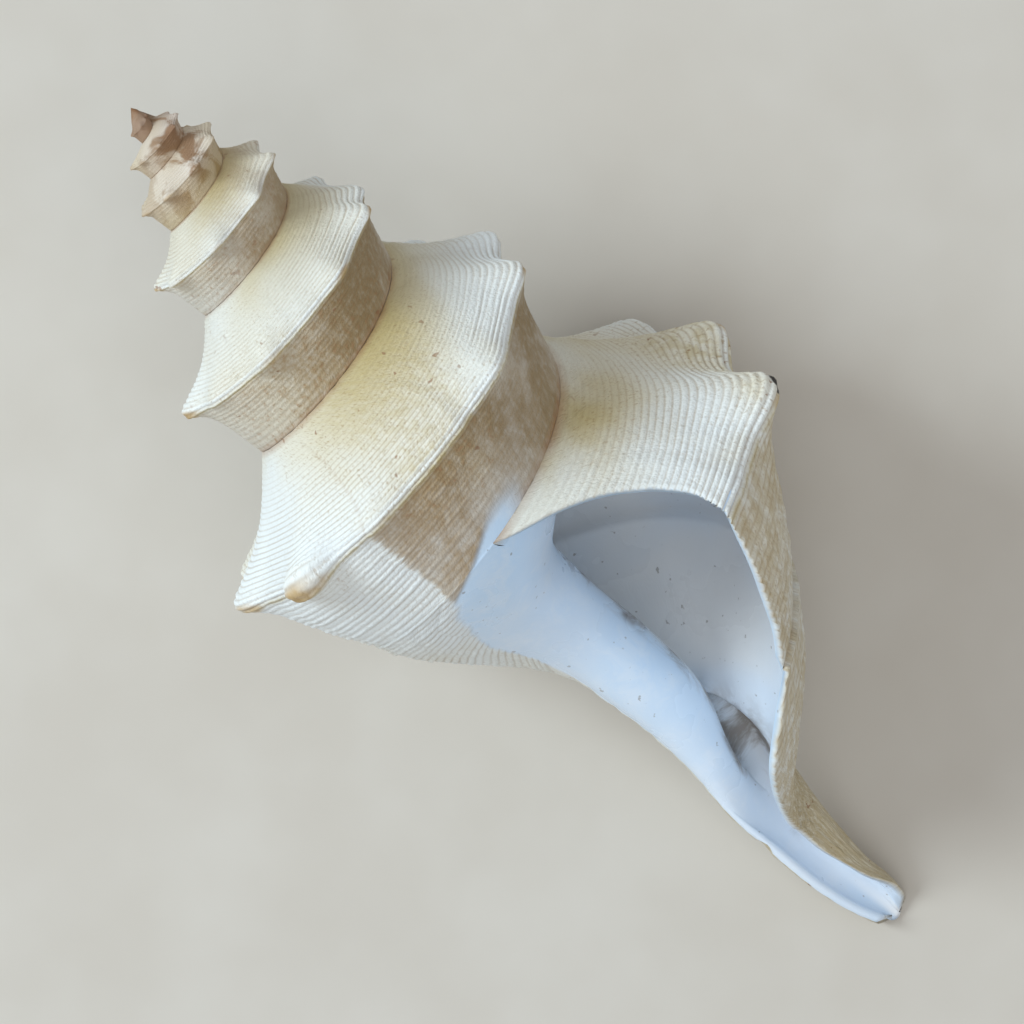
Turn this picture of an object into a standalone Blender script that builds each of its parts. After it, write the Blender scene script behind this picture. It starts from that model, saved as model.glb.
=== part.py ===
"""Whelk shell: a right-handed spiral shell with a nodular keel, a wide open mouth and a long open canal.

The outside is one spiral surface.  Every point of it has a growth angle (0 at the outer lip, negative
towards the tip of the spire) and a station across the whorl (0 upper suture, 1 lower suture, 2 end of the
base, 3 start of the canal, 4 end of the canal).  The same surface carries on inside the mouth as the
columella, and a second surface runs from the lip inwards as the inner side of the wall, so the living
chamber is a real hollow that opens at the mouth.  Lengths are millimetres until the mesh is made.
"""
import bmesh
import bpy
import numpy as np

MM = 0.001                   # metres in a millimetre

# ---- growth of the spiral (angles in degrees, 0 = the keel at the outer lip, negative = older shell)
GROWTH = 1.6                 # size of a whorl over the size of the whorl before it
TURNS = 6.3                  # whorls from the tip of the spire to the lip
POLE_SHIFT = 4.4             # how much lower the first whorls sit than even growth puts them, millimetres
LIP_BEARING = 56.0           # direction of the lip round the axis
LEFT_BEARING = -236.0        # growth angle where the wall passes the left side of the canal
MEET = -100.0                # growth angle where the canal's floor meets the wall's inner side
CAVITY_TURNS = 1.3           # how far the living chamber is kept hollow

# ---- section of a whorl at lip size: (distance from the axis, height below the pole), millimetres
SIDE_EARLY = ((22.1, 70.3), (25.8, 75.1), (30.0, 80.0), (34.4, 84.2), (38.6, 87.8), (40.6, 90.2),
              (39.6, 93.5), (38.3, 98.5), (36.9, 105.0), (35.36, 112.48))
SIDE_LAST = ((22.1, 70.3), (25.8, 75.1), (30.0, 80.0), (34.4, 84.2), (38.6, 87.8), (40.6, 90.2),
             (39.2, 93.9), (36.7, 100.0), (33.2, 106.8), (29.6, 112.48))
BASE_EARLY = ((35.36, 112.48), (32.4, 117.7), (28.6, 122.2), (24.2, 126.5), (18.8, 130.9), (13.2, 135.2),
              (8.6, 139.8), (4.6, 145.5), (1.6, 152.0), (0.0, 159.0))
BASE_LAST = ((29.6, 112.48), (25.6, 119.0), (21.4, 123.6), (16.6, 128.2), (12.4, 132.0), (8.7, 135.8),
             (5.8, 139.8), (2.8, 145.0), (0.8, 150.5), (0.0, 156.0))
SUTURE_HEIGHT = 112.48
BASE_END = 137.9             # where the base ends at lip size
BASE_LIMIT = 141.0           # the lowest that the base of a whorl ends
BASE_CUT = 158.5             # below this the base has no part in the neck
NECK_BLEND = 2.4             # how sharply the neck grows out of the base
DEEP_SHUT = 135.5            # where chamber and columella close together deep inside, at lip size
CANAL_START = 143.5
CANAL_TIP = 161.8
SCOOP = 2.6                  # how far the canal's end reaches past its edges, millimetres
KEEL = 5.0 / 9.0             # station of the keel between the two sutures
PINCH = 2.65                 # station where chamber and columella close together
OLD_SECTION = -330.0         # growth angle where the section changes from the early to the last one
LAST_SECTION = -240.0
FLOOR_FROM = 126.0           # heights between which the columella turns into the canal's floor
FLOOR_TO = 146.0
RIM_SHARE = 0.14             # share of the floor's turn that is its rim
TROUGH = 122.0               # degrees of the pipe that the floor lines

# ---- neck and canal by height: (height, left side, radius of the pipe, radius of the columella)
NECK = ((30.0, -1.7, 2.4, 1.7), (70.0, -3.8, 5.4, 3.8), (97.0, -5.2, 7.5, 5.3), (107.0, -4.2, 8.0, 5.6),
        (118.0, -2.1, 7.6, 4.75), (127.0, -1.25, 6.9, 3.1), (135.0, -1.3, 5.65, 2.5),
        (141.5, -0.6, 4.95, 1.6), (147.8, 0.2, 4.5, 0.9), (153.5, 1.3, 4.0, 0.8), (158.7, 2.9, 3.6, 0.75),
        (162.5, 4.6, 2.7, 0.7))

# ---- outer lip: extra growth of the edge at each station
LIP = ((0.0, 37.0), (0.08, 18.0), (0.16, 6.0), (0.25, -1.0), (0.35, -4.0), (0.5, -3.0), (0.8, -2.0),
       (1.0, 0.0), (1.08, 6.0), (1.2, 16.0), (1.4, 20.5), (1.6, 19.5), (1.8, 15.0), (2.0, 10.0), (2.3, 8.0),
       (2.65, 7.0), (3.0, 7.5), (3.2, 9.5), (3.4, 6.5), (3.6, -6.0), (3.8, -32.0), (4.0, -66.0))
RIM_BACK = 35.0              # degrees past the canal's left side where its end is joined up
LIP_FADE = 150.0             # degrees behind the lip where its shape has faded

# ---- nodules on the keel: (growth angle, strength), then evenly spaced back to the tip
NODULES = ((-35.0, 1.0), (-65.0, 1.0), (-89.0, 0.9), (-118.0, 0.8), (-150.0, 0.8), (-182.0, 0.8),
           (-209.0, 0.9), (-238.0, 1.0), (-275.0, 1.0), (-304.0, 0.6), (-331.0, 0.1), (-357.0, 0.7),
           (-398.0, 0.9), (-426.0, 0.9), (-462.0, 0.8), (-496.0, 0.8), (-530.0, 0.8), (-563.0, 0.8),
           (-596.0, 1.0), (-622.0, 0.5), (-661.0, 1.0), (-708.0, 0.8), (-746.0, 0.9), (-771.0, 0.7))
NODULE_STEP = 43.0
NODULE_SPREAD = 8.8
NODULE_RISE = 4.6
OLD_NODULES = 1.4            # how much stronger the nodules of the first whorls are
TIP_TAPER = 430.0            # the first degrees of growth, where the whorls start from a point
WALL = 1.7                   # thickness of the wall inside
WALL_EDGE = 0.9              # thickness at the lip
WALL_GROWS = 35.0            # degrees behind the lip where the wall has its full thickness
INNER_RELIEF = 0.35          # how much of the nodules' relief the inside has


def ease(x, low, high):
    """Smooth step from 0 at low to 1 at high."""
    t = np.clip((np.asarray(x, float) - low) / (high - low), 0.0, 1.0)
    return t * t * (3.0 - 2.0 * t)


def size_at(g):
    return GROWTH ** (g / 360.0)


def smooth_curve(x, knots, values):
    """Cubic curve through the points (knots, values)."""
    knots = np.asarray(knots, float)
    values = np.asarray(values, float)
    x = np.clip(x, knots[0], knots[-1])
    slope = np.gradient(values, knots, axis=0)
    i = np.clip(np.searchsorted(knots, x, side="right") - 1, 0, len(knots) - 2)
    h = knots[i + 1] - knots[i]
    t = (x - knots[i]) / h
    if values.ndim == 2:
        t = t[..., None]
        h = h[..., None]
    a = values[i] * (2 * t ** 3 - 3 * t ** 2 + 1) + slope[i] * h * (t ** 3 - 2 * t ** 2 + t)
    return a + values[i + 1] * (3 * t ** 2 - 2 * t ** 3) + slope[i + 1] * h * (t ** 3 - t ** 2)


def nodule_height(g):
    """Height of the keel's nodules, 0 to 1, at growth angle g."""
    total = np.zeros_like(g)
    last = NODULES[-1][0]
    more = [(last - NODULE_STEP * n, 1.0) for n in range(1, int(360 * TURNS / NODULE_STEP))]
    for centre, strength in list(NODULES) + more:
        if centre > -360.0 * TURNS:
            total = total + strength * np.exp(-((g - centre) / NODULE_SPREAD) ** 2)
    return total


def side_section(g, a):
    """Distance and height of the wall between the sutures at lip size."""
    late = ease(g, OLD_SECTION, LAST_SECTION)[..., None]
    s = np.clip(a, 0.0, 1.0) * 9.0
    pts = smooth_curve(s, np.arange(10.0), SIDE_EARLY) * (1 - late)
    pts = pts + smooth_curve(s, np.arange(10.0), SIDE_LAST) * late
    return pts[..., 0], pts[..., 1]


def keel_relief(g, a, rise):
    """Outward push of the nodules and the folds that run from them."""
    off = (a - KEEL) * 9.0
    reach = np.where(off < 0, np.exp(-(off / 1.9) ** 2), np.exp(-(off / 1.1) ** 2))
    old = 1.0 + (OLD_NODULES - 1.0) * ease(-g, 640.0, 900.0)
    return reach * (nodule_height(g) - 0.3) * rise * old


def side_point(g, a, rise):
    r, u = side_section(g, a)
    push = keel_relief(g, a, rise)
    k = size_at(g)
    near = np.exp(-((a - KEEL) * 9.0 / 2.2) ** 2)
    lift = 2.2 * ease(g, -45.0, 5.0) * near
    shift = POLE_SHIFT * np.exp(-k / 0.2)
    taper = 0.35 + 0.65 * ease(g, -360.0 * TURNS, TIP_TAPER - 360.0 * TURNS)
    return (r + push) * k * taper, (u - 0.2 * push - lift) * k + shift


def lower_height(g, a):
    """Height of a station below the lower suture."""
    k = size_at(g)
    top = SUTURE_HEIGHT * k
    base = np.minimum(BASE_END * k, BASE_LIMIT)
    shut = base + (PINCH - 2.0) * (CANAL_START - base)
    deep = DEEP_SHUT * size_at(np.minimum(g + 360.0, MEET))
    shut = shut + (deep - shut) * (1.0 - ease(g, MEET - 360.0, -360.0))
    u = top + (base - top) * np.clip(a - 1.0, 0.0, 1.0)
    u = u + (shut - base) * np.clip((a - 2.0) / (PINCH - 2.0), 0.0, 1.0)
    u = u + (CANAL_START - shut) * np.clip((a - PINCH) / (3.0 - PINCH), 0.0, 1.0)
    return u + (CANAL_TIP - CANAL_START) * np.clip(a - 3.0, 0.0, 1.0)


def base_radius(g, u):
    late = ease(g, OLD_SECTION, LAST_SECTION)
    h = u / size_at(g)
    early = np.asarray(BASE_EARLY)
    last = np.asarray(BASE_LAST)
    r = smooth_curve(h, early[:, 1], early[:, 0]) * (1 - late)
    r = r + smooth_curve(h, last[:, 1], last[:, 0]) * late
    return np.maximum(r, 0.0) * size_at(g) * (h < BASE_CUT)


def neck_shape(u):
    table = np.asarray(NECK)
    vals = smooth_curve(u, table[:, 0], table[:, 1:])
    return vals[..., 0], vals[..., 1], vals[..., 2]


def lower_point(g, a, wall):
    """Point of the base, the neck and the canal."""
    u = lower_height(g, a)
    left, pipe, stem = neck_shape(u)
    radius = np.where(g > LEFT_BEARING, pipe, stem)
    bearing = np.radians(g + LIP_BEARING)
    base = base_radius(g, u)
    both = base ** NECK_BLEND + radius ** NECK_BLEND
    full = both ** (1.0 / NECK_BLEND)
    share = radius ** NECK_BLEND / both
    x = (left + radius) * share + full * np.cos(bearing)
    y = full * np.sin(bearing)
    # canal floor: over the rim of the columella side, then along the inside of the pipe
    t = np.clip((LEFT_BEARING - g) / (LEFT_BEARING - MEET + 360.0), 0.0, 1.0)
    rim = np.radians(180.0 * (1.0 - np.clip(t / RIM_SHARE, 0.0, 1.0)))
    lined = TROUGH * np.clip((t - RIM_SHARE) / (1.0 - RIM_SHARE), 0.0, 1.0) - 180.0
    trough = np.radians(lined)
    on_rim = t < RIM_SHARE
    hollow = pipe - wall
    fx = np.where(on_rim, left + wall / 2 + wall / 2 * np.cos(rim), left + pipe + hollow * np.cos(trough))
    fy = np.where(on_rim, wall / 2 * np.sin(rim), hollow * np.sin(trough))
    f = ease(u, FLOOR_FROM, FLOOR_TO) * (g < LEFT_BEARING)
    # the rounded end of the canal
    round_pipe = np.where(g > LEFT_BEARING, g + LIP_BEARING, lined)
    scoop = SCOOP * np.clip(1.0 - ((round_pipe + 95.0) / 85.0) ** 2, 0.0, 1.0)
    return x * (1 - f) + fx * f, y * (1 - f) + fy * f, u + scoop * ease(a, 3.45, 4.0)


def shell_point(g, a, rise=NODULE_RISE, wall=1.5):
    """Outer surface at growth angle g and station a: 0 suture, 1 lower suture, 2 neck, 3 canal, 4 tip."""
    g, a = np.broadcast_arrays(np.asarray(g, float), np.asarray(a, float))
    r, u = side_point(g, a, rise)
    bearing = np.radians(g + LIP_BEARING)
    lx, ly, lu = lower_point(g, np.maximum(a, 1.0), wall)
    up = a <= 1.0
    return np.stack([np.where(up, r * np.cos(bearing), lx), np.where(up, r * np.sin(bearing), ly),
                     np.where(up, u, lu)], -1)


def lip_growth(a):
    table = np.asarray(LIP)
    return smooth_curve(np.asarray(a, float), table[:, 0], table[:, 1])


def row_angle(turned, a):
    """Growth angle of the grid row that lies 'turned' degrees back from the lip, at station a."""
    fade = 1.0 - ease(turned, 0.0, LIP_FADE)
    again = 1.0 - ease(np.abs(turned - 360.0), 0.0, LIP_FADE)
    share = np.where(a <= 1.0, ease(a, 0.2, 1.0), 1.0 - ease(a, 1.0, 1.8))
    return -turned + lip_growth(a) * fade + LIP[0][1] * again * share


def outer_grid(turned, a, rise=NODULE_RISE):
    g = row_angle(turned, a)
    pts = shell_point(g, a, rise)
    # the upper edge of a whorl lies on the lower suture of the whorl before it
    gap = shell_point(g - 360.0, np.ones_like(g), rise) - shell_point(g, np.zeros_like(g), rise)
    near = np.where(turned < 360.0 * (TURNS - 1.0), np.clip(1.0 - a / 0.5, 0.0, 1.0) ** 2, 0.0)
    return pts + gap * near[..., None]


def outer_normal(turned, a, rise):
    e = 0.4
    up = outer_grid(turned + e, a, rise) - outer_grid(np.maximum(turned - e, 0.0), a, rise)
    f = 0.004
    along = outer_grid(turned, np.minimum(a + f, 4.0), rise)
    along = along - outer_grid(turned, np.maximum(a - f, 0.0), rise)
    n = np.cross(along, up)
    return n / (np.linalg.norm(n, axis=-1, keepdims=True) + 1e-12)

def stations(side, base, neck, canal):
    """Stations across the whorl: close together at the keel."""
    half = int(round(side * 0.5))
    upper = KEEL * (1.0 - (1.0 - np.linspace(0.0, 1.0, half + 1)) ** 1.35)
    lower = KEEL + (1.0 - KEEL) * np.linspace(0.0, 1.0, side - half + 1) ** 1.25
    a = np.concatenate([upper, lower[1:]])
    junction = 1.0 + 0.12
    a = np.concatenate([a, np.linspace(junction, 2.0, base)])
    a = np.concatenate([a, np.linspace(2.0, PINCH, neck + 1)[1:]])
    a = np.concatenate([a, np.linspace(PINCH, 3.0, max(neck // 2, 2) + 1)[1:]])
    return np.concatenate([a, np.linspace(3.0, 4.0, canal + 1)[1:]])


def zip_chains(pts, one, two):
    """Triangles between two chains of vertices, both running the same way."""
    faces = []
    i = 0
    j = 0
    while i < len(one) - 1 or j < len(two) - 1:
        step_one = j == len(two) - 1
        if i < len(one) - 1 and j < len(two) - 1:
            a = np.linalg.norm(pts[one[i + 1]] - pts[two[j]])
            b = np.linalg.norm(pts[one[i]] - pts[two[j + 1]])
            step_one = a < b
        if step_one:
            tri = (one[i], one[i + 1], two[j])
            i += 1
        else:
            tri = (one[i], two[j + 1], two[j])
            j += 1
        if len(set(tri)) == 3:
            faces.append(tri)
    return faces


def grid_faces(ids):
    """Quads over a grid of vertex numbers."""
    a, b = ids[:-1, :-1], ids[:-1, 1:]
    c, d = ids[1:, 1:], ids[1:, :-1]
    return np.stack([a, b, c, d], -1).reshape(-1, 4)


def shell_mesh(step, counts, rise=NODULE_RISE):
    """Vertices and faces of the closed shell; step is the spacing of the rows in degrees."""
    a = stations(*counts)
    turn = int(round(360.0 / step))
    rows = int(round(TURNS * turn))
    deep = int(round(CAVITY_TURNS * turn))
    meet = int(round((-MEET) / step))
    j1 = counts[0]
    j2 = int(np.argmin(np.abs(a - 2.0)))
    jp = int(np.argmin(np.abs(a - PINCH)))
    last = len(a) - 1
    points = []

    def add(block):
        start = sum(len(p) for p in points)
        points.append(block.reshape(-1, 3))
        return start + np.arange(block.shape[0] * block.shape[1]).reshape(block.shape[:2])

    turned = np.arange(rows + 1)[:, None] * step
    side = np.full((rows + 1, j1 + 1), -1)
    side[:, 1:] = add(outer_grid(turned, a[None, 1:j1 + 1], rise))
    side[:rows - turn + 1, 0] = side[turn:, j1]
    side[rows - turn + 1:, 0] = add(outer_grid(turned[rows - turn + 1:], a[None, :1], rise))[:, 0]

    low = np.full((turn + deep + 1, last + 1), -1)
    low[:turn + meet + 1, j1 + 1:] = add(outer_grid(turned[:turn + meet + 1], a[None, j1 + 1:], rise))
    tail = add(outer_grid(turned[turn + meet + 1:turn + deep + 1], a[None, j1 + 1:jp + 1], rise))
    low[turn + meet + 1:, j1 + 1:jp + 1] = tail
    low[:, j1] = side[:turn + deep + 1, j1]

    # inner side of the wall
    t = turned[:deep + 1]
    smooth = outer_grid(t, a[None, :], rise * INNER_RELIEF)
    depth = WALL * size_at(-t) ** 0.5
    depth = WALL_EDGE + (depth - WALL_EDGE) * ease(t, 0.0, WALL_GROWS)
    wide = np.broadcast_to(a[None, :], smooth.shape[:2])
    inside = smooth - outer_normal(t, wide, rise * INNER_RELIEF) * depth[..., None]
    flat = np.concatenate(points)
    foot = flat[low[turn:turn + deep + 1, jp]][:, None, :]
    pull = ease(a[None, :], 1.45, 2.0) * ease(t, -MEET - 60.0, -MEET) * (a[None, :] <= 2.0)
    inside = inside + (foot - inside) * pull[..., None]
    inner = np.full((deep + 1, last + 1), -1)
    inner[:meet + 1, 1:] = add(inside[:meet + 1, 1:])
    inner[meet + 1:, 1:j2] = add(inside[meet + 1:, 1:j2])
    inner[:, 0] = low[turn:turn + deep + 1, j1 + 1]
    inner[meet:, j2] = low[turn + meet:turn + deep + 1, jp]
    flat = np.concatenate(points)

    faces = [grid_faces(side)]
    faces.append(grid_faces(low[:turn + 1, j1:]))
    faces.append(grid_faces(low[turn:turn + meet + 1, j1 + 1:]))
    faces.append(grid_faces(low[turn + meet:, j1 + 1:jp + 1]))
    faces.append(grid_faces(inner[:meet + 1]))
    faces.append(grid_faces(inner[meet:, :j2 + 1]))
    edge = np.concatenate([side[0, :j1], low[0, j1:]])
    faces.append(grid_faces(np.stack([edge, inner[0]])))
    faces = [tuple(int(v) for v in f) for block in faces for f in block]
    # canal floor against the inner side of the wall, the end of the canal, the end of the chamber
    faces += zip_chains(flat, list(inner[meet, j2:]), list(low[turn + meet, jp:]))
    rim = int(round((RIM_BACK - LEFT_BEARING) / step))
    one = list(low[:rim + 1, last])
    two = list(inner[:meet + 1, last]) + list(low[turn:turn + meet + 1, last][::-1])
    two += list(low[rim:turn, last][::-1])
    faces += zip_chains(flat, one, two)
    faces += zip_chains(flat, list(inner[deep, :j2 + 1]), list(low[turn + deep, j1 + 1:jp + 1]))
    # tip of the spire
    loop = list(side[rows - turn:, 0]) + list(side[rows, 1:j1])
    top = np.array([[0.0, 0.0, flat[loop][:, 2].min() - 0.5]])
    apex = len(flat)
    flat = np.concatenate([flat, top])
    faces += [(loop[n], loop[(n + 1) % len(loop)], apex) for n in range(len(loop))]
    used = np.unique(np.concatenate([np.array(f) for f in faces]))
    number = np.full(len(flat), -1)
    number[used] = np.arange(len(used))
    return flat[used], [tuple(int(number[v]) for v in f) for f in faces]


# ---- resting pose and grid of the solid
DOWN = (0.083, -0.939, 0.326)    # direction of the floor when the shell lies on its back
WEAR = 0.9                       # how far the touching points are worn flat, millimetres
ROW_STEP = 9.0                   # degrees between rows of the grid
COUNTS = (9, 6, 4, 6)            # columns of side, base, neck and canal


def rest_pose(points):
    """Turn the shell to lie on its back, wear the touching points flat and centre it over the floor."""
    up = -np.array(DOWN) / np.linalg.norm(DOWN)
    along = np.array([0.0, 0.0, 1.0]) - up * up[2]
    along = along / np.linalg.norm(along)
    across = np.cross(up, along)
    placed = np.stack([points @ along, points @ across, points @ up], -1)
    floor = placed[:, 2].min() + WEAR
    placed[:, 2] = np.maximum(placed[:, 2], floor) - floor
    middle = (placed[:, :2].min(axis=0) + placed[:, :2].max(axis=0)) / 2.0
    placed[:, :2] -= middle
    return placed * MM


def shell_material():
    mat = bpy.data.materials.new("shell")
    mat.use_nodes = True
    shader = mat.node_tree.nodes["Principled BSDF"]
    shader.inputs["Base Color"].default_value = (0.78, 0.70, 0.54, 1.0)
    shader.inputs["Roughness"].default_value = 0.5
    shader.inputs["Metallic"].default_value = 0.0
    return mat


def clear_scene():
    for obj in list(bpy.data.objects):
        bpy.data.objects.remove(obj, do_unlink=True)


def build_shell():
    points, faces = shell_mesh(ROW_STEP, COUNTS)
    mesh = bpy.data.meshes.new("shell")
    mesh.from_pydata(rest_pose(points).tolist(), [], faces)
    work = bmesh.new()
    work.from_mesh(mesh)
    bmesh.ops.triangulate(work, faces=list(work.faces))
    bmesh.ops.recalc_face_normals(work, faces=list(work.faces))
    work.to_mesh(mesh)
    work.free()
    mesh.polygons.foreach_set("use_smooth", [True] * len(mesh.polygons))
    mesh.materials.append(shell_material())
    shell = bpy.data.objects.new("shell", mesh)
    bpy.context.scene.collection.objects.link(shell)
    return shell


clear_scene()
build_shell()
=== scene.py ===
"""The whelk shell's visual model: the fine surface, its material, the light and the camera.

The surface follows the solid's spiral, in growth angle g (degrees, 0 at the lip, negative on older
shell) and station a across the whorl (0 upper suture, 1 lower suture, 2 neck, 3 canal, 4 its end).
The spiral cords, the strong cords of the keel and the crimps of the lip are real relief.  Lengths are
millimetres until the meshes are made.
"""
import math

import bmesh
import bpy
import numpy as np
from mathutils import Matrix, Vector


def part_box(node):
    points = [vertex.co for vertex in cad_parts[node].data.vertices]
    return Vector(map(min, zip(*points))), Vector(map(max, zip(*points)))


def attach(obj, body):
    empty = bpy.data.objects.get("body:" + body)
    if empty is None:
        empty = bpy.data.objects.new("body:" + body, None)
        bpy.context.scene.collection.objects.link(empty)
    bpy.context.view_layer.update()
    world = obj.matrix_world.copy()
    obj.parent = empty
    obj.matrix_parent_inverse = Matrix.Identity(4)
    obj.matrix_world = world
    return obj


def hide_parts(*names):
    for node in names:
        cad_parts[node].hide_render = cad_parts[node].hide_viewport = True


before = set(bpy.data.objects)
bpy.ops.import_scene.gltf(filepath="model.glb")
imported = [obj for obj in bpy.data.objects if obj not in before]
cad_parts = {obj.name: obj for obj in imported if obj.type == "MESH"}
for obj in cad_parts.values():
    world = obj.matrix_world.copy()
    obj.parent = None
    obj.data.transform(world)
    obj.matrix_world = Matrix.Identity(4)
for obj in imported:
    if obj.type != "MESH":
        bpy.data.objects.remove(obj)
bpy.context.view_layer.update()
SHELL_LOW, SHELL_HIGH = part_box("shell")


# ---- growth of the spiral (angles in degrees, 0 = the keel at the outer lip, negative = older shell)
GROWTH = 1.6                 # size of a whorl over the size of the whorl before it
TURNS = 6.3                  # whorls from the tip of the spire to the lip
POLE_SHIFT = 4.4             # how much lower the first whorls sit than even growth puts them, millimetres
LIP_BEARING = 56.0           # direction of the lip round the axis
LEFT_BEARING = -236.0        # growth angle where the wall passes the left side of the canal
MEET = -100.0                # growth angle where the canal's floor meets the wall's inner side
CAVITY_TURNS = 1.3           # how far the living chamber is kept hollow

# ---- section of a whorl at lip size: (distance from the axis, height below the pole), millimetres
RAMP = ((22.1, 70.3), (25.8, 75.1), (30.0, 80.0), (34.4, 84.2), (38.6, 87.8), (40.6, 90.2))
SIDE_EARLY = RAMP + ((39.6, 93.5), (38.3, 98.5), (36.9, 105.0), (35.36, 112.48))
SIDE_LAST = RAMP + ((39.2, 93.9), (36.7, 100.0), (33.2, 106.8), (29.6, 112.48))
BASE_EARLY = ((35.36, 112.48), (32.4, 117.7), (28.6, 122.2), (24.2, 126.5), (18.8, 130.9), (13.2, 135.2),
              (8.6, 139.8), (4.6, 145.5), (1.6, 152.0), (0.0, 159.0))
BASE_LAST = ((29.6, 112.48), (25.6, 119.0), (21.4, 123.6), (16.6, 128.2), (12.4, 132.0), (8.7, 135.8),
             (5.8, 139.8), (2.8, 145.0), (0.8, 150.5), (0.0, 156.0))
SIDE_SPANS = 9.0             # spans between the points of a side section
SUTURE_HEIGHT = 112.48       # height of the lower suture at lip size
BASE_END = 137.9             # where the base ends at lip size
BASE_LIMIT = 141.0           # the lowest that the base of a whorl ends
BASE_CUT = 158.5             # below this the base has no part in the neck
NECK_BLEND = 2.4             # how sharply the neck grows out of the base
DEEP_SHUT = 135.5            # where chamber and columella close together deep inside, at lip size
CANAL_START = 143.5          # heights of the start and the end of the canal
CANAL_TIP = 161.8
SCOOP = 2.6                  # how far the canal's end reaches past its edges, millimetres
SCOOP_MIDDLE = -95.0         # where on the pipe it reaches furthest, and how far to each side, in degrees
SCOOP_HALF = 85.0
SCOOP_FROM = 3.45            # station where it starts
KEEL = 5.0 / SIDE_SPANS      # station of the keel between the two sutures
PINCH = 2.65                 # station where chamber and columella close together
OLD_SECTION = -330.0         # growth angle where the section changes from the early to the last one
LAST_SECTION = -240.0        # and where it has become the last one
FLOOR_FROM = 126.0           # heights between which the columella turns into the canal's floor
FLOOR_TO = 146.0
RIM_SHARE = 0.14             # share of the floor's turn that is its rim
TROUGH = 122.0               # degrees of the pipe that the floor lines
FLOOR_WALL = 1.5             # thickness of the canal's floor

# ---- neck and canal by height: (height, left side, radius of the pipe, radius of the columella)
NECK = ((30.0, -1.7, 2.4, 1.7), (70.0, -3.8, 5.4, 3.8), (97.0, -5.2, 7.5, 5.3), (107.0, -4.2, 8.0, 5.6),
        (118.0, -2.1, 7.6, 4.75), (127.0, -1.25, 6.9, 3.1), (135.0, -1.3, 5.65, 2.5),
        (141.5, -0.6, 4.95, 1.6), (147.8, 0.2, 4.5, 0.9), (153.5, 1.3, 4.0, 0.8), (158.7, 2.9, 3.6, 0.75),
        (162.5, 4.6, 2.7, 0.7))

# ---- outer lip: extra growth of the edge at each station
LIP = ((0.0, 37.0), (0.08, 18.0), (0.16, 6.0), (0.25, -1.0), (0.35, -4.0), (0.5, -3.0), (0.8, -2.0),
       (1.0, 0.0), (1.08, 6.0), (1.2, 16.0), (1.4, 20.5), (1.6, 19.5), (1.8, 15.0), (2.0, 10.0), (2.3, 8.0),
       (2.65, 7.0), (3.0, 7.5), (3.2, 9.5), (3.4, 6.5), (3.6, -6.0), (3.8, -32.0), (4.0, -66.0))
LIP_FADE = 150.0             # degrees behind the lip where its shape has faded
FOLLOW_FROM = 0.2            # the whorl before follows the lip's corner between these stations
FOLLOW_TO = 1.8
KEEL_LIFT = 2.2              # how much the keel lies higher at the lip, millimetres
LIFT_FROM = -45.0            # growth angles between which it gets there
LIFT_TO = 5.0
LIFT_REACH = 2.2             # reach of the lift above and below the keel, in spans

# ---- nodules on the keel: (growth angle, strength), then evenly spaced back to the tip
NODULES = ((-35.0, 1.0), (-65.0, 1.0), (-89.0, 0.9), (-118.0, 0.8), (-150.0, 0.8), (-182.0, 0.8),
           (-209.0, 0.9), (-238.0, 1.0), (-275.0, 1.0), (-304.0, 0.6), (-331.0, 0.1), (-357.0, 0.7),
           (-398.0, 0.9), (-426.0, 0.9), (-462.0, 0.8), (-496.0, 0.8), (-530.0, 0.8), (-563.0, 0.8),
           (-596.0, 1.0), (-622.0, 0.5), (-661.0, 1.0), (-708.0, 0.8), (-746.0, 0.9), (-771.0, 0.7))
NODULE_STEP = 43.0           # degrees between the evenly spaced ones
NODULE_SPREAD = 8.8          # half the width of a nodule, degrees
NODULE_RISE = 4.6            # height of a nodule of the solid at lip size
NODULE_SINK = 0.3            # share of the height by which the keel sinks between the nodules
NODULE_ABOVE = 1.9           # reach of a nodule above and below the keel, in spans
NODULE_BELOW = 1.1
NODULE_DROP = 0.2            # share of a nodule's push that also carries it up the spire
OLD_NODULES = 1.4            # how much stronger the nodules of the first whorls are
OLD_FROM = 640.0             # degrees behind the lip between which they get stronger
OLD_TO = 900.0
SHIFT_FADE = 0.2             # size of a whorl at which the pole's shift fades out
TIP_WIDTH = 0.35             # share of its width that the first whorl starts with
TIP_TAPER = 430.0            # the first degrees of growth, where the whorls start from a point
WALL = 1.7                   # thickness of the wall inside
WALL_EDGE = 0.9              # thickness at the lip
WALL_GROWS = 35.0            # degrees behind the lip where the wall has its full thickness
INNER_RELIEF = 0.35          # how much of the nodules' relief the inside has
SEAM_REACH = 0.5             # station down to which a whorl is pulled on to the one before it
TURN_STEP = 0.4              # steps for the direction of the surface, in degrees and in stations
STATION_STEP = 0.004


def ease(x, low, high):
    """Smooth step from 0 at low to 1 at high."""
    t = np.clip((np.asarray(x, float) - low) / (high - low), 0.0, 1.0)
    return t * t * (3.0 - 2.0 * t)


def size_at(g):
    """Size of the section at growth angle g, 1 at the lip."""
    return GROWTH ** (g / 360.0)


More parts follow.
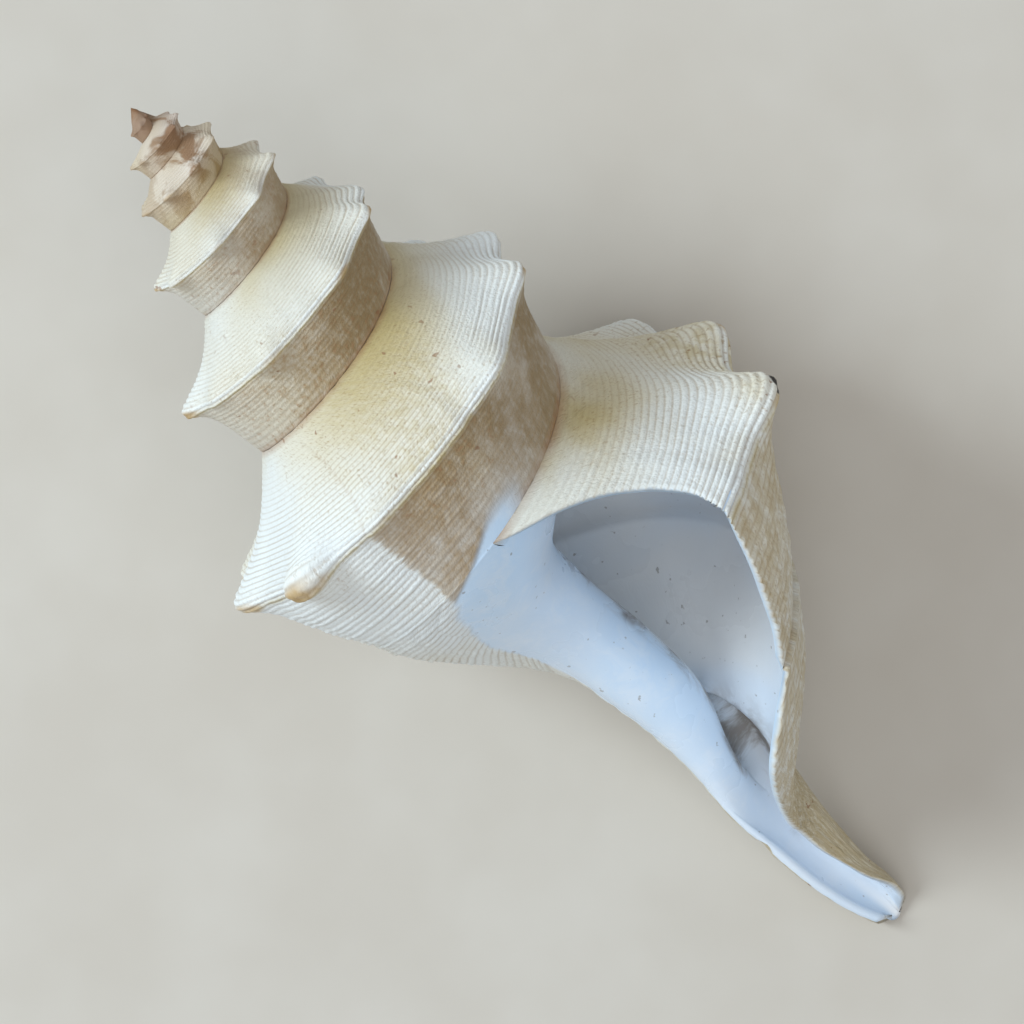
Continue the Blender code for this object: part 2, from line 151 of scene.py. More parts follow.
def smooth_curve(x, knots, values):
    """Cubic curve through the points (knots, values)."""
    knots = np.asarray(knots, float)
    values = np.asarray(values, float)
    x = np.clip(x, knots[0], knots[-1])
    slope = np.gradient(values, knots, axis=0)
    i = np.clip(np.searchsorted(knots, x, side="right") - 1, 0, len(knots) - 2)
    h = knots[i + 1] - knots[i]
    t = (x - knots[i]) / h
    if values.ndim == 2:
        t = t[..., None]
        h = h[..., None]
    a = values[i] * (2 * t ** 3 - 3 * t ** 2 + 1) + slope[i] * h * (t ** 3 - 2 * t ** 2 + t)
    return a + values[i + 1] * (3 * t ** 2 - 2 * t ** 3) + slope[i + 1] * h * (t ** 3 - t ** 2)


def keel_bell(a, above, below):
    """1 on the keel, falling off above and below it; the two reaches are in spans of the section."""
    off = (a - KEEL) * SIDE_SPANS
    return np.exp(-(off / np.where(off < 0.0, above, below)) ** 2)


def nodule_height(g):
    """Height of the keel's nodules, 0 to 1, at growth angle g."""
    total = np.zeros_like(g)
    last = NODULES[-1][0]
    more = [(last - NODULE_STEP * n, 1.0) for n in range(1, int(360 * TURNS / NODULE_STEP))]
    for centre, strength in list(NODULES) + more:
        if centre > -360.0 * TURNS:
            total = total + strength * np.exp(-((g - centre) / NODULE_SPREAD) ** 2)
    return total


def side_section(g, a):
    """Distance and height of the wall between the sutures at lip size."""
    late = ease(g, OLD_SECTION, LAST_SECTION)[..., None]
    s = np.clip(a, 0.0, 1.0) * SIDE_SPANS
    knots = np.arange(SIDE_SPANS + 1.0)
    pts = smooth_curve(s, knots, SIDE_EARLY) * (1 - late) + smooth_curve(s, knots, SIDE_LAST) * late
    return pts[..., 0], pts[..., 1]


def keel_relief(g, a, rise):
    """Outward push of the nodules and the folds that run from them."""
    reach = keel_bell(a, NODULE_ABOVE, NODULE_BELOW)
    old = 1.0 + (OLD_NODULES - 1.0) * ease(-g, OLD_FROM, OLD_TO)
    return reach * (nodule_height(g) - NODULE_SINK) * rise * old


def side_point(g, a, rise):
    """Distance from the axis and height below the pole between the sutures, grown to size."""
    r, u = side_section(g, a)
    push = keel_relief(g, a, rise)
    k = size_at(g)
    lift = KEEL_LIFT * ease(g, LIFT_FROM, LIFT_TO) * keel_bell(a, LIFT_REACH, LIFT_REACH)
    shift = POLE_SHIFT * np.exp(-k / SHIFT_FADE)
    taper = TIP_WIDTH + (1.0 - TIP_WIDTH) * ease(g, -360.0 * TURNS, TIP_TAPER - 360.0 * TURNS)
    return (r + push) * k * taper, (u - NODULE_DROP * push - lift) * k + shift


def lower_height(g, a):
    """Height of a station below the lower suture."""
    k = size_at(g)
    top = SUTURE_HEIGHT * k
    base = np.minimum(BASE_END * k, BASE_LIMIT)
    shut = base + (PINCH - 2.0) * (CANAL_START - base)
    deep = DEEP_SHUT * size_at(np.minimum(g + 360.0, MEET))
    shut = shut + (deep - shut) * (1.0 - ease(g, MEET - 360.0, -360.0))
    u = top + (base - top) * np.clip(a - 1.0, 0.0, 1.0)
    u = u + (shut - base) * np.clip((a - 2.0) / (PINCH - 2.0), 0.0, 1.0)
    u = u + (CANAL_START - shut) * np.clip((a - PINCH) / (3.0 - PINCH), 0.0, 1.0)
    return u + (CANAL_TIP - CANAL_START) * np.clip(a - 3.0, 0.0, 1.0)


def base_radius(g, u):
    """Distance of the whorl's base from the axis at height u."""
    late = ease(g, OLD_SECTION, LAST_SECTION)
    h = u / size_at(g)
    early = np.asarray(BASE_EARLY)
    last = np.asarray(BASE_LAST)
    r = smooth_curve(h, early[:, 1], early[:, 0]) * (1 - late)
    r = r + smooth_curve(h, last[:, 1], last[:, 0]) * late
    return np.maximum(r, 0.0) * size_at(g) * (h < BASE_CUT)


def neck_shape(u):
    """Left side, radius of the pipe and radius of the columella at height u."""
    table = np.asarray(NECK)
    vals = smooth_curve(u, table[:, 0], table[:, 1:])
    return vals[..., 0], vals[..., 1], vals[..., 2]


def lower_point(g, a):
    """Point of the base, the neck and the canal."""
    u = lower_height(g, a)
    left, pipe, stem = neck_shape(u)
    radius = np.where(g > LEFT_BEARING, pipe, stem)
    bearing = np.radians(g + LIP_BEARING)
    base = base_radius(g, u)
    both = base ** NECK_BLEND + radius ** NECK_BLEND
    full = both ** (1.0 / NECK_BLEND)
    share = radius ** NECK_BLEND / both
    x = (left + radius) * share + full * np.cos(bearing)
    y = full * np.sin(bearing)
    # canal floor: over the rim of the columella side, then along the inside of the pipe
    t = np.clip((LEFT_BEARING - g) / (LEFT_BEARING - MEET + 360.0), 0.0, 1.0)
    rim = np.radians(180.0 * (1.0 - np.clip(t / RIM_SHARE, 0.0, 1.0)))
    lined = TROUGH * np.clip((t - RIM_SHARE) / (1.0 - RIM_SHARE), 0.0, 1.0) - 180.0
    trough = np.radians(lined)
    on_rim = t < RIM_SHARE
    half = FLOOR_WALL / 2
    hollow = pipe - FLOOR_WALL
    fx = np.where(on_rim, left + half + half * np.cos(rim), left + pipe + hollow * np.cos(trough))
    fy = np.where(on_rim, half * np.sin(rim), hollow * np.sin(trough))
    f = ease(u, FLOOR_FROM, FLOOR_TO) * (g < LEFT_BEARING)
    # the rounded end of the canal
    round_pipe = np.where(g > LEFT_BEARING, g + LIP_BEARING, lined)
    scoop = SCOOP * np.clip(1.0 - ((round_pipe - SCOOP_MIDDLE) / SCOOP_HALF) ** 2, 0.0, 1.0)
    return x * (1 - f) + fx * f, y * (1 - f) + fy * f, u + scoop * ease(a, SCOOP_FROM, 4.0)


def shell_point(g, a, rise=NODULE_RISE):
    """Outer surface at growth angle g and station a: 0 suture, 1 lower suture, 2 neck, 3 canal, 4 tip."""
    g, a = np.broadcast_arrays(np.asarray(g, float), np.asarray(a, float))
    r, u = side_point(g, a, rise)
    bearing = np.radians(g + LIP_BEARING)
    lx, ly, lu = lower_point(g, np.maximum(a, 1.0))
    up = a <= 1.0
    return np.stack([np.where(up, r * np.cos(bearing), lx), np.where(up, r * np.sin(bearing), ly),
                     np.where(up, u, lu)], -1)


def lip_growth(a):
    """Extra growth of the lip's edge at station a, degrees."""
    table = np.asarray(LIP)
    return smooth_curve(np.asarray(a, float), table[:, 0], table[:, 1])


def row_angle(turned, a):
    """Growth angle of the grid row that lies 'turned' degrees back from the lip, at station a."""
    fade = 1.0 - ease(turned, 0.0, LIP_FADE)
    again = 1.0 - ease(np.abs(turned - 360.0), 0.0, LIP_FADE)
    share = np.where(a <= 1.0, ease(a, FOLLOW_FROM, 1.0), 1.0 - ease(a, 1.0, FOLLOW_TO))
    return -turned + lip_growth(a) * fade + LIP[0][1] * again * share


def outer_grid(turned, a, rise=NODULE_RISE):
    """Points of the outer surface for rows 'turned' degrees back from the lip."""
    g = row_angle(turned, a)
    pts = shell_point(g, a, rise)
    # the upper edge of a whorl lies on the lower suture of the whorl before it
    gap = shell_point(g - 360.0, np.ones_like(g), rise) - shell_point(g, np.zeros_like(g), rise)
    near = np.where(turned < 360.0 * (TURNS - 1.0), np.clip(1.0 - a / SEAM_REACH, 0.0, 1.0) ** 2, 0.0)
    return pts + gap * near[..., None]


def outer_normal(turned, a, rise):
    """Direction out of the surface."""
    up = outer_grid(turned + TURN_STEP, a, rise) - outer_grid(np.maximum(turned - TURN_STEP, 0.0), a, rise)
    along = outer_grid(turned, np.minimum(a + STATION_STEP, 4.0), rise)
    along = along - outer_grid(turned, np.maximum(a - STATION_STEP, 0.0), rise)
    n = np.cross(along, up)
    return n / (np.linalg.norm(n, axis=-1, keepdims=True) + 1e-12)


def stations(side, base, neck, canal):
    """Stations of the solid across the whorl: close together at the keel."""
    half = int(round(side * 0.5))
    upper = KEEL * (1.0 - (1.0 - np.linspace(0.0, 1.0, half + 1)) ** CROWD_ABOVE)
    lower = KEEL + (1.0 - KEEL) * np.linspace(0.0, 1.0, side - half + 1) ** CROWD_BELOW
    a = np.concatenate([upper, lower[1:], np.linspace(JUNCTION, 2.0, base)])
    a = np.concatenate([a, np.linspace(2.0, PINCH, neck + 1)[1:]])
    a = np.concatenate([a, np.linspace(PINCH, 3.0, max(neck // 2, 2) + 1)[1:]])
    return np.concatenate([a, np.linspace(3.0, 4.0, canal + 1)[1:]])


def zip_chains(pts, one, two):
    """Triangles between two chains of vertices, both running the same way."""
    faces = []
    i = 0
    j = 0
    while i < len(one) - 1 or j < len(two) - 1:
        step_one = j == len(two) - 1
        if i < len(one) - 1 and j < len(two) - 1:
            a = np.linalg.norm(pts[one[i + 1]] - pts[two[j]])
            b = np.linalg.norm(pts[one[i]] - pts[two[j + 1]])
            step_one = a < b
        if step_one:
            tri = (one[i], one[i + 1], two[j])
            i += 1
        else:
            tri = (one[i], two[j + 1], two[j])
            j += 1
        if len(set(tri)) == 3:
            faces.append(tri)
    return faces


# ---------------------------------------------------------------- fine relief
MM = 0.001                   # metres in a millimetre
DOWN = (0.083, -0.939, 0.326)    # direction of the floor in the shell's own axes, as in the solid
SOLID_STEP = 9.0             # rows and columns of the solid, to lay the fine surface in its place
SOLID_COUNTS = (9, 6, 4, 6)
CROWD_ABOVE = 1.35           # how closely the solid's columns crowd to the keel, above and below it
CROWD_BELOW = 1.25
FINE_RISE = 5.0              # height of the nodules, a little more than the solid's
CORD_GAP = 1.04              # spacing of the spiral cords at lip size, millimetres
WIDE_CORDS = 1.35            # how much wider the cords are below the keel
CORD_RISE = 0.15             # height of a cord, millimetres
KEEL_RISE = 0.42             # height of the strong cords on the keel
# where growth once stopped: growth angle, height of the step at lip size
REST_LINES = ((-11.0, 0.2), (-98.0, 0.5), (-200.0, 0.4), (-297.0, 0.35), (-415.0, 0.35), (-585.0, 0.35),
              (-770.0, 0.4))
LEAN = 0.75                  # how much of the lip's outline the growth lines follow
# knobs that stand out more, with a fold up the ramp: growth angle, height at lip size, reach of the fold
FOLDS = ((-35.0, 0.4, 3.4), (-65.0, 0.4, 3.6), (-89.0, 0.6, 3.4), (-118.0, 0.6, 3.0), (-279.0, 2.6, 1.4),
         (-426.0, 0.8, 2.8), (-462.0, 0.8, 2.8), (-596.0, 0.9, 2.4))
FOLD_BELOW = 0.9             # reach of a fold below the keel, in spans
FOLD_SPREAD = 6.5            # half the width of a fold, degrees
FOLD_SLANT = 2.0             # degrees that a fold runs aside in each span
CHIP_HEIGHT = 141.8          # height, depth and half widths of the chip in the canal's left edge
CHIP_DEPTH = 0.9
CHIP_TALL = 0.7
CHIP_TURN = 9.0
CORD_SETS = ((1.0, -400.0), (0.75, -760.0), (0.5, -1110.0), (0.35, None))  # share of cords, until which angle
CORD_FADE = 50.0             # degrees over which one set of cords gives way to the next
CORD_SHARP = 0.7             # power that rounds the cords' tops
KEEL_ABOVE = 1.7             # reach of the strong cords above and below the keel, in spans
KEEL_BELOW = 0.6
FINE_POWER = 0.6             # how fast the cords and wrinkles grow with the shell, and the strong cords
KEEL_POWER = 0.8
ROPY = 0.9                   # how much higher the cords below the last whorl's keel are, and where
ROPY_STATIONS = (KEEL + 0.1, 0.8)
ROPY_TURNS = (-310.0, -290.0)
FAINT = 0.65                 # how much lower they are by the suture of the last whorl, and where
FAINT_STATIONS = (0.02, 0.36)
FAINT_START = (-380.0, -300.0)
FAINT_END = (-60.0, -10.0)
SUTURE_FADE = (0.0, 0.05)    # stations over which the cords rise from the suture
NECK_FADE = (2.3, 3.2)       # and over which they end on the neck
BEADS = 0.25                 # share of a cord's height that the wrinkles give and take
LOWER_CORDS = ((2.0, 24.0), (PINCH, 32.0), (3.0, 37.0), (4.0, 51.0))  # station, cords past the suture
WRINKLE = 0.07               # height of the growth wrinkles, millimetres
REST_REACH = 2.2             # degrees over which the step at a rest line fades
REST_WAVE = 1.5              # how far a rest line wavers, degrees
REST_EDGE = (-1.2, 0.6)      # degrees round the line over which the step drops
REST_FADE = (0.03, 0.12)     # stations over which steps and folds rise from the suture
FOLD_FADE = (0.02, 0.2)
CRIMP = 0.22                 # crimps of the lip, degrees of growth
CRIMP_REACH = 6.0            # degrees behind the lip where they have faded
CRIMP_STEP = 0.5             # step for the direction of growth, degrees
LAST_STEP = 1.5              # rows of the last whorl, degrees apart
INNER_STEP = 5.0             # rows of the inside
INNER_UPPER = 46             # columns of the inside above and below the suture, and on the canal
INNER_LOWER = 26
INNER_CANAL = 34
INNER_CROWD = 1.1            # how closely the inside's columns crowd to the upper suture
WALL_POWER = 0.5             # how fast the wall grows with the shell
PULL_STATIONS = (1.45, 2.0)  # stations over which the wall closes in on the columella
LEAD_IN = 60.0               # degrees before the floor's meeting line where the wall starts to close in
CORD_COLUMNS = 4             # columns of the surface on each cord, and on each cord of the base
BASE_COLUMNS = 3.0
NECK_COLUMNS = 22            # columns on the neck, at the start of the canal and along it
START_COLUMNS = 10
CANAL_COLUMNS = 34
CLEAR = 0.006                # stations closer to the junction than this give way to it
TIP_POINT = 0.5              # how far the first point stands above the first whorl
WHORLS = (("shell_whorl_2", 360.0, 720.0, 2.4, 4), ("shell_whorl_3", 720.0, 1080.0, 3.0, 4))
TIP = (1080.0, 360.0 * TURNS, 4.5, 2)   # first and last row, step in degrees, columns on each cord
JUNCTION = 1.12              # station where the inside starts below the suture
# edge of the glaze on the columella side: station, growth angle
CALLUS = np.array(((0.9, -330.0), (1.0, -312.0), (1.13, -297.0), (1.45, -286.0), (1.76, -261.0),
                   (2.0, -249.0), (2.3, -242.0), (2.65, -239.0), (4.0, -239.0)))
CALLUS_EDGE = (-4.0, 1.5)    # degrees round that edge over which the glaze ends
CALLUS_TOP = (-345.0, -330.0)      # growth angles and stations over which it reaches past the suture
CALLUS_ABOVE = (0.9, 0.97)
CALLUS_FULL = 1.02           # station below which nothing but its edge limits it
KNOB_BACK = 2.0              # degrees that the paint of a knob lies back, its stations below the keel
KNOB_LOW = 0.03
KNOB_HALF = 0.075            # half its width, in stations


def cord_table():
    """Cord number against station, from the length of the section at lip size."""
    a = np.linspace(0.0, 1.0, 400)
    r, u = side_section(np.zeros_like(a), a)
    length = np.hypot(np.diff(r), np.diff(u)) / np.where(a[1:] > KEEL + 0.08, WIDE_CORDS, 1.0)
    cords = np.concatenate([[0.0], np.cumsum(length)])
    cords = cords / cords[-1] * round(cords[-1] / CORD_GAP)
    more = np.array(LOWER_CORDS)
    return np.concatenate([a, more[:, 0]]), np.concatenate([cords, cords[-1] + more[:, 1]])


STATIONS, CORDS = cord_table()


def cord_number(a):
    """Number of the cord at station a, counted from the upper suture."""
    return np.interp(a, STATIONS, CORDS)


def station_of(cords):
    """Station of a cord."""
    return np.interp(cords, CORDS, STATIONS)


def callus(g, a):
    """1 where the white glaze covers the columella side, 0 on the outside."""
    edge = np.interp(a, CALLUS[:, 0], CALLUS[:, 1])
    wobble = 0.8 * np.sin(a * 31.0) + 0.6 * np.sin(a * 57.0 + 1.0)
    spread = 1.0 - ease(g, edge + wobble + CALLUS_EDGE[0], edge + wobble + CALLUS_EDGE[1])
    above = ease(g, *CALLUS_TOP) * ease(a, *CALLUS_ABOVE)
    return spread * np.where(a > CALLUS_FULL, 1.0, above)


def growth_line(g, a):
    """Growth angle at which this point was the edge of the lip, which is what a growth line follows."""
    return g - LEAN * lip_growth(a)


def wrinkles(g, a):
    """Growth wrinkles that cross the cords, -1 to 1."""
    lean = growth_line(g, a)
    slow = np.sin(lean * 0.41 + 1.5 * np.sin(lean * 0.13)) + 0.7 * np.sin(lean * 0.73 + 2.0)
    return slow * (0.5 + 0.3 * np.sin(lean * 0.057 + a * 3.0))


def cord_wave(g, c):
    """Profile of the cords, 0 to 1; there are fewer of them on the older whorls."""
    total = np.zeros_like(g)
    newer = 1.0
    for share, until in CORD_SETS:
        older = 1.0 - ease(g, until, until + CORD_FADE) if until is not None else 0.0
        total = total + (newer - older) * (0.5 - 0.5 * np.cos(2.0 * np.pi * c * share)) ** CORD_SHARP
        newer = older
    return total


def cord_relief(g, a):
    """Height of the spiral cords and the wrinkles, millimetres."""
    c = cord_number(a)
    wave = cord_wave(g, c)
    which = np.floor(c)
    uneven = 0.75 + 0.25 * np.sin(which * 2.4) + 0.15 * np.sin(which * 1.3 + g / 23.0)
    near = keel_bell(a, KEEL_ABOVE, KEEL_BELOW)
    k = size_at(g)
    ropy = 1.0 + ROPY * ease(a, *ROPY_STATIONS) * ease(g, *ROPY_TURNS)
    rise = CORD_RISE * uneven * k ** FINE_POWER * ropy + (KEEL_RISE - CORD_RISE) * near * k ** KEEL_POWER
    faint = FAINT * (1.0 - ease(a, *FAINT_STATIONS)) * ease(g, *FAINT_START) * (1.0 - ease(g, *FAINT_END))
    fade = ease(a, *SUTURE_FADE) * (1.0 - ease(a, *NECK_FADE)) * (1.0 - faint)
    across = wrinkles(g, a)
    cords = wave * rise * fade * (1.0 + BEADS * across)
    return (cords + WRINKLE * k ** FINE_POWER * across) * (1.0 - callus(g, a))


def rest_steps(g, a):
    """Low steps where growth once stopped, millimetres."""
    total = np.zeros_like(g)
    for centre, height in REST_LINES:
        behind = growth_line(g, a) - centre - REST_WAVE * np.sin(a * 13.0 + centre)
        total = total - height * np.exp(-np.abs(behind) / REST_REACH) * ease(behind, *REST_EDGE)
    return total * size_at(g) * ease(a, *REST_FADE)


def folds(g, a):
    """Extra height of the strongest knobs and of their folds up the ramp, millimetres."""
    off = (a - KEEL) * SIDE_SPANS
    total = np.zeros_like(g)
    for centre, height, reach in FOLDS:
        across = np.exp(-((g - centre - FOLD_SLANT * off) / FOLD_SPREAD) ** 2)
        total = total + height * keel_bell(a, reach, FOLD_BELOW) * across
    return total * size_at(g) * ease(a, *FOLD_FADE)


def fine_grid(turned, a):
    """Outer surface with all its relief, for rows 'turned' back from the lip."""
    base = outer_grid(turned, a, FINE_RISE)
    g = np.broadcast_to(row_angle(turned, a), base.shape[:2])
    wide = np.broadcast_to(a, base.shape[:2])
    out = outer_normal(turned, wide, FINE_RISE)
    near_lip = 1.0 - ease(turned, 0.0, CRIMP_REACH)
    crimp = CRIMP * np.cos(2.0 * np.pi * cord_number(wide)) * near_lip * (wide < 3.2)
    along = (base - outer_grid(turned + CRIMP_STEP, a, FINE_RISE)) / CRIMP_STEP
    rise = cord_relief(g, wide) + (rest_steps(g, wide) + folds(g, wide)) * (1.0 - callus(g, wide))
    points = base + out * rise[..., None] + along * crimp[..., None]
    # the chip in the left edge of the canal
    tall = np.exp(-((points[..., 2] - CHIP_HEIGHT) / CHIP_TALL) ** 2)
    chip = tall * np.exp(-((g - LEFT_BEARING) / CHIP_TURN) ** 2)
    points[..., 0] += CHIP_DEPTH * chip * (wide > 2.0)
    return points


# ---------------------------------------------------------------- meshes
def add_object(name, data):
    thing = bpy.data.objects.new(name, data)
    bpy.context.scene.collection.objects.link(thing)
    return thing


PAINTS = ("turn", "station", "cord", "glaze", "inside", "knob", "rest", "wave", "line")


class Sheets:
    """Collects grids of points with their paint values, and the faces between them."""

    def __init__(self):
        self.points = []
        self.paint = {name: [] for name in PAINTS}
        self.faces = []
        self.count = 0

    def add(self, grid, g, a, inside):
        """Adds a grid of points and returns their numbers."""
        shape = grid.shape[:2]
        g = np.broadcast_to(g, shape)
        a = np.broadcast_to(a, shape)
        inside = np.broadcast_to(inside, shape)
        glaze = np.where(inside > 0.0, 1.0, callus(g, a))
        self.points.append(grid.reshape(-1, 3))
        band = np.exp(-((a - KEEL - KNOB_LOW) / KNOB_HALF) ** 2)
        knob = nodule_height(g + KNOB_BACK) * band * (inside <= 0.0)
        rest = -rest_steps(g, a) * (inside <= 0.0)
        cord = cord_number(a)
        wave = cord_wave(g, cord)
        values = (g / 360.0, a, cord, glaze, inside, knob, rest, wave, growth_line(g, a) / 360.0)
        for name, value in zip(PAINTS, values):
            self.paint[name].append(np.asarray(value, float).reshape(-1))
        start = self.count
        self.count += shape[0] * shape[1]
        return start + np.arange(shape[0] * shape[1]).reshape(shape)

    def quads(self, ids):
        """Faces between the neighbours of a grid."""
        corners = np.stack([ids[:-1, :-1], ids[:-1, 1:], ids[1:, 1:], ids[1:, :-1]], -1)
        self.faces += [tuple(int(v) for v in f) for f in corners.reshape(-1, 4)]

    def all_points(self):
        return np.concatenate(self.points)

    def make(self, name, material):
        """Turns the sheets into one mesh object with its faces pointing out."""
        used = np.unique(np.concatenate([np.array(f) for f in self.faces]))
        number = np.full(self.count, -1)
        number[used] = np.arange(len(used))
        mesh = bpy.data.meshes.new(name)
        faces = [tuple(int(number[v]) for v in f) for f in self.faces]
        mesh.from_pydata(lay_down(self.all_points()[used]).tolist(), [], faces)
        for key, values in self.paint.items():
            layer = mesh.attributes.new(key, "FLOAT", "POINT")
            layer.data.foreach_set("value", np.concatenate(values)[used].astype(np.float32))
        work = bmesh.new()
        work.from_mesh(mesh)
        bmesh.ops.recalc_face_normals(work, faces=list(work.faces))
        work.to_mesh(mesh)
        work.free()
        mesh.polygons.foreach_set("use_smooth", [True] * len(mesh.polygons))
        mesh.materials.append(material)
        piece = add_object(name, mesh)
        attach(piece, "root")
        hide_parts("shell")
        return piece


def rest_axes():
    """Rows: the part's X, Y and Z in the shell's own axes."""
    up = -np.array(DOWN) / np.linalg.norm(DOWN)
    along = np.array([0.0, 0.0, 1.0]) - up * up[2]
    along = along / np.linalg.norm(along)
    return np.stack([along, np.cross(up, along), up])


AXES = rest_axes()


def solid_offset():
    """Shift that lays the surface where the solid lies."""
    rows = np.arange(int(round(TURNS * 360.0 / SOLID_STEP)) + 1)[:, None] * SOLID_STEP
    coarse = outer_grid(rows, stations(*SOLID_COUNTS)[None, :]).reshape(-1, 3) @ AXES.T
    return np.array(SHELL_HIGH) - coarse.max(axis=0) * MM


OFFSET = solid_offset()


def to_part(points):
    """From the shell's own axes in millimetres to part coordinates in metres."""
    return np.asarray(points) @ AXES.T * MM + OFFSET


def lay_down(points):
    """Part coordinates in metres, worn flat where the shell touches the floor."""
    placed = to_part(points)
    placed[:, 2] = np.maximum(placed[:, 2], 0.0)
    return placed


def side_stations(per_cord):
    """Stations between the sutures, evenly spaced on each cord."""
    return station_of(np.arange(0.0, cord_number(1.0) + 0.01, 1.0 / per_cord))


def lower_stations():
    """Stations below the lower suture: along the cords of the base, then the smooth neck and canal."""
    base = station_of(np.arange(cord_number(1.0), cord_number(2.0) + 0.01, 1.0 / BASE_COLUMNS))[1:]
    base = base[np.abs(base - JUNCTION) > CLEAR]
    base = np.sort(np.append(base, JUNCTION))
    neck = np.linspace(2.0, PINCH, NECK_COLUMNS)[1:]
    start = np.linspace(PINCH, 3.0, START_COLUMNS)[1:]
    return np.concatenate([base, neck, start, np.linspace(3.0, 4.0, CANAL_COLUMNS)[1:]])


def body_sheets():
    """Last whorl, columella, inside of the wall, lip and canal as one closed sheet."""
    s = Sheets()
    a = np.concatenate([side_stations(CORD_COLUMNS), lower_stations()])
    first = int(np.argmin(np.abs(a - JUNCTION)))
    jp = int(np.argmin(np.abs(a - PINCH)))
    turned = np.arange(0.0, 360.0 + 1e-6, LAST_STEP)[:, None]
    outer = s.add(fine_grid(turned, a[None, :]), row_angle(turned, a[None, :]), a[None, :], 0.0)
    s.quads(outer)

    # the outer surface goes on inside the mouth as the parietal wall and the columella
    meet = int(round(-MEET / INNER_STEP))
    deep = int(round(360.0 * CAVITY_TURNS / INNER_STEP))
    turned = 360.0 + np.arange(1, deep + 1)[:, None] * INNER_STEP
    cols = a[None, first:]
    stem = np.full((deep + 1, cols.shape[1]), -1)
    stem[0] = outer[-1, first:]
    depth = (turned - 360.0) / 360.0
    stem[1:] = s.add(fine_grid(turned, cols), row_angle(turned, cols), cols, depth)
    s.quads(stem[:meet + 1])
    s.quads(stem[meet:, :jp - first + 1])

    # inner side of the wall
    b = np.concatenate([np.linspace(0.0, 1.0, INNER_UPPER) ** INNER_CROWD,
                        np.linspace(JUNCTION, 2.0, INNER_LOWER),
                        np.linspace(2.0, 4.0, INNER_CANAL)[1:]])[None, :]
    j2 = int(np.argmin(np.abs(b[0] - 2.0)))
    turned = np.arange(deep + 1)[:, None] * INNER_STEP
    rise = NODULE_RISE * INNER_RELIEF
    smooth = outer_grid(turned, b, rise)
    wall = WALL_EDGE + (WALL * size_at(-turned) ** WALL_POWER - WALL_EDGE) * ease(turned, 0.0, WALL_GROWS)
    out = outer_normal(turned, np.broadcast_to(b, smooth.shape[:2]), rise)
    lining = smooth - out * wall[..., None]
    foot = s.all_points()[stem[:, jp - first]][:, None, :]
    pull = ease(b, *PULL_STATIONS) * ease(turned, -MEET - LEAD_IN, -MEET) * (b <= 2.0)
    lining = lining + (foot - lining) * pull[..., None]
    inner = s.add(lining, row_angle(turned, b), b, turned / 360.0 + 0.001)
    inner[:, 0] = stem[:, 0]
    inner[meet:, j2] = stem[meet:, jp - first]
    s.quads(inner[:meet + 1])
    s.quads(inner[meet:, :j2 + 1])

    flat = s.all_points()
    s.faces += zip_chains(flat, list(outer[0]), list(inner[0]))
    s.faces += zip_chains(flat, list(inner[meet, j2:]), list(stem[meet, jp - first:]))
    rim = int(round(-LEFT_BEARING / LAST_STEP))
    one = list(outer[:rim + 1, -1])
    two = list(inner[:meet + 1, -1]) + list(stem[:meet + 1, -1][::-1]) + list(outer[rim:-1, -1][::-1])
    s.faces += zip_chains(flat, one, two)
    s.faces += zip_chains(flat, list(inner[deep, :j2 + 1]), list(stem[deep, :jp - first + 1]))
    return s


def whorl_sheet(start, end, step, per_cord):
    """Whorls of the spire, from one growth turn to an older one."""
    s = Sheets()
    a = side_stations(per_cord)[None, :]
    turned = np.linspace(start, end, int(round((end - start) / step)) + 1)[:, None]
    ids = s.add(fine_grid(turned, a), row_angle(turned, a), a, 0.0)
    s.quads(ids)
    return s, ids, turned[:, 0]


def close_tip(s, ids, turned):
    """Caps the first whorl."""
    loop = [int(v) for v in ids[turned >= 360.0 * (TURNS - 1.0) - 1e-6, 0]] + [int(v) for v in ids[-1, 1:]]
    top = s.all_points()[loop][:, 2].min() - TIP_POINT
    apex = s.add(np.array([[[0.0, 0.0, top]]]), np.array([[-360.0 * TURNS]]), np.array([[0.0]]), 0.0)
    s.faces += [(loop[n], loop[(n + 1) % len(loop)], int(apex[0, 0])) for n in range(len(loop))]


